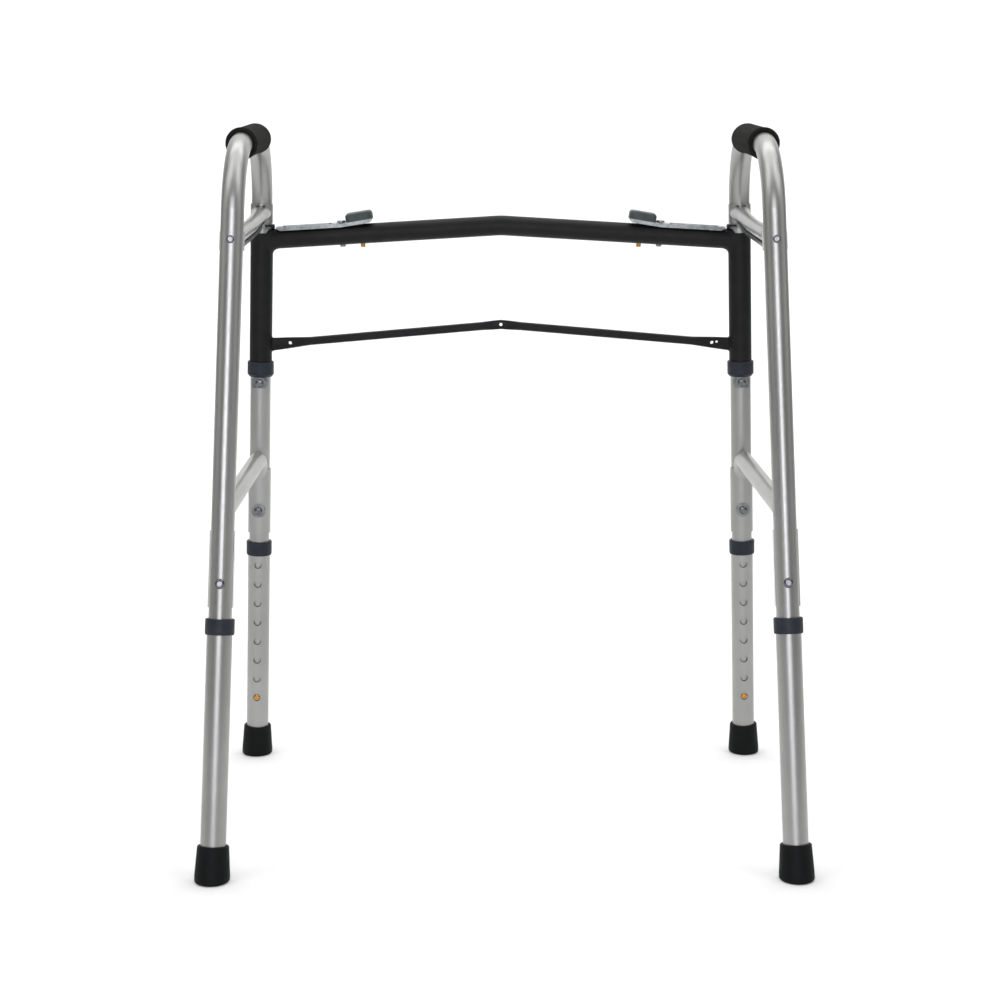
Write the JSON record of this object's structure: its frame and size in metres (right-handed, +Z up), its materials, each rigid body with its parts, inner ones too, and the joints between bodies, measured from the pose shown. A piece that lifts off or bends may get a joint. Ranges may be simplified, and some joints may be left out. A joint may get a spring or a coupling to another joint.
{
  "type": "walking frame",
  "caption": "Folding walking frame: two bent-tube sides with foam grips hinge on a front frame that carries two press-down latches; four legs slide to set the height on snap buttons.",
  "frame": {"origin": "on the floor, in the middle of the four feet", "axes": "+Z up, +Y forwards, away from the user, +X to the user's right"},
  "size_m": [0.6788, 0.4937, 0.8134],
  "materials": {
    "satin_aluminium": "satin anodised",
    "dark_frame": "fine texture",
    "grey_collar": "moulded",
    "zinc": "bright zinc plate",
    "spring_steel": "plain",
    "paddle": "moulded",
    "brass": "yellow passivate",
    "foam": "ribbed foam",
    "chrome_bolt": "bright",
    "black_plastic": "moulded",
    "rubber_tip": "moulded"
  },
  "bodies": {
    "front_frame": {"crossbar": "dark_frame", "lower_bar": "dark_frame", "sleeve_left": "dark_frame", "sleeve_right": "dark_frame", "sleeve_bush_left": "grey_collar", "sleeve_bush_right": "grey_collar", "latch_rivet_left": "zinc", "latch_rivet_right": "zinc", "latch_spring_left": "zinc", "latch_spring_right": "zinc"},
    "left_side": {"side_tube_left": "satin_aluminium", "grip_left": "foam", "upper_brace_left": "satin_aluminium", "lower_brace_left": "satin_aluminium", "lock_bracket_left": "zinc", "hinge_washer_left": "black_plastic", "brace_fixings_left": "chrome_bolt", "saddle_washers_left": "zinc", "leg_bolts_left": "chrome_bolt", "lock_nuts_left": "zinc", "button_spring_front_left": "spring_steel", "button_spring_rear_left": "spring_steel"},
    "left_latch": {"latch_lever_left": "zinc", "latch_paddle_left": "paddle", "latch_pin_left": "brass"},
    "leg_front_left": {"leg_extension_front_left": "satin_aluminium", "leg_collar_front_left": "grey_collar", "rubber_tip_front_left": "rubber_tip", "tip_washer_front_left": "zinc"},
    "button_front_left": {"snap_button_front_left": "brass"},
    "leg_rear_left": {"leg_extension_rear_left": "satin_aluminium", "leg_collar_rear_left": "grey_collar", "rubber_tip_rear_left": "rubber_tip", "tip_washer_rear_left": "zinc"},
    "button_rear_left": {"snap_button_rear_left": "brass"},
    "right_side": {"side_tube_right": "satin_aluminium", "grip_right": "foam", "upper_brace_right": "satin_aluminium", "lower_brace_right": "satin_aluminium", "lock_bracket_right": "zinc", "hinge_washer_right": "black_plastic", "brace_fixings_right": "chrome_bolt", "saddle_washers_right": "zinc", "leg_bolts_right": "chrome_bolt", "lock_nuts_right": "zinc", "button_spring_front_right": "spring_steel", "button_spring_rear_right": "spring_steel"},
    "right_latch": {"latch_lever_right": "zinc", "latch_paddle_right": "paddle", "latch_pin_right": "brass"},
    "leg_front_right": {"leg_extension_front_right": "satin_aluminium", "leg_collar_front_right": "grey_collar", "rubber_tip_front_right": "rubber_tip", "tip_washer_front_right": "zinc"},
    "button_front_right": {"snap_button_front_right": "brass"},
    "leg_rear_right": {"leg_extension_rear_right": "satin_aluminium", "leg_collar_rear_right": "grey_collar", "rubber_tip_rear_right": "rubber_tip", "tip_washer_rear_right": "zinc"},
    "button_rear_right": {"snap_button_rear_right": "brass"}
  },
  "joints": [
    {"name": "fold_left", "type": "hinge", "parent": "front_frame", "child": "left_side", "pos_m": [-0.32, 0.2275, 0], "axis": [0.0344, -0.0346, 0.9988], "range_deg": [0, 71]},
    {"name": "latch_left", "type": "hinge", "parent": "front_frame", "child": "left_latch", "pos_m": [-0.19789, 0.20361, 0.69045], "axis": [0, -0.9994, -0.0346], "range_deg": [-6, 0], "stiffness_Nm_per_rad": 1, "deforming": ["latch_spring_left"]},
    {"name": "leg_front_left", "type": "slide", "parent": "left_side", "child": "leg_front_left", "axis": [-0.0344, 0.0346, -0.9988], "range_m": [0, 0.1524]},
    {"name": "button_front_left", "type": "slide", "parent": "left_side", "child": "button_front_left", "axis": [0.0012, 0.9994, 0.0345], "range_m": [0, 0.0034], "stiffness_N_per_m": 800, "deforming": ["button_spring_front_left"]},
    {"name": "leg_rear_left", "type": "slide", "parent": "left_side", "child": "leg_rear_left", "axis": [-0.0339, -0.1737, -0.9842], "range_m": [0, 0.1524]},
    {"name": "button_rear_left", "type": "slide", "parent": "left_side", "child": "button_rear_left", "axis": [0.006, -0.9848, 0.1736], "range_m": [0, 0.0034], "stiffness_N_per_m": 800, "deforming": ["button_spring_rear_left"]},
    {"name": "fold_right", "type": "hinge", "parent": "front_frame", "child": "right_side", "pos_m": [0.32, 0.2275, 0], "axis": [0.0344, 0.0346, -0.9988], "range_deg": [0, 60]},
    {"name": "latch_right", "type": "hinge", "parent": "front_frame", "child": "right_latch", "pos_m": [0.19789, 0.20361, 0.69045], "axis": [0, 0.9994, 0.0346], "range_deg": [-6, 0], "stiffness_Nm_per_rad": 1, "deforming": ["latch_spring_right"]},
    {"name": "leg_front_right", "type": "slide", "parent": "right_side", "child": "leg_front_right", "axis": [0.0344, 0.0346, -0.9988], "range_m": [0, 0.1524]},
    {"name": "button_front_right", "type": "slide", "parent": "right_side", "child": "button_front_right", "axis": [-0.0012, 0.9994, 0.0345], "range_m": [0, 0.0034], "stiffness_N_per_m": 800, "deforming": ["button_spring_front_right"]},
    {"name": "leg_rear_right", "type": "slide", "parent": "right_side", "child": "leg_rear_right", "axis": [0.0339, -0.1737, -0.9842], "range_m": [0, 0.1524]},
    {"name": "button_rear_right", "type": "slide", "parent": "right_side", "child": "button_rear_right", "axis": [-0.006, -0.9848, 0.1736], "range_m": [0, 0.0034], "stiffness_N_per_m": 800, "deforming": ["button_spring_rear_right"]}
  ]
}
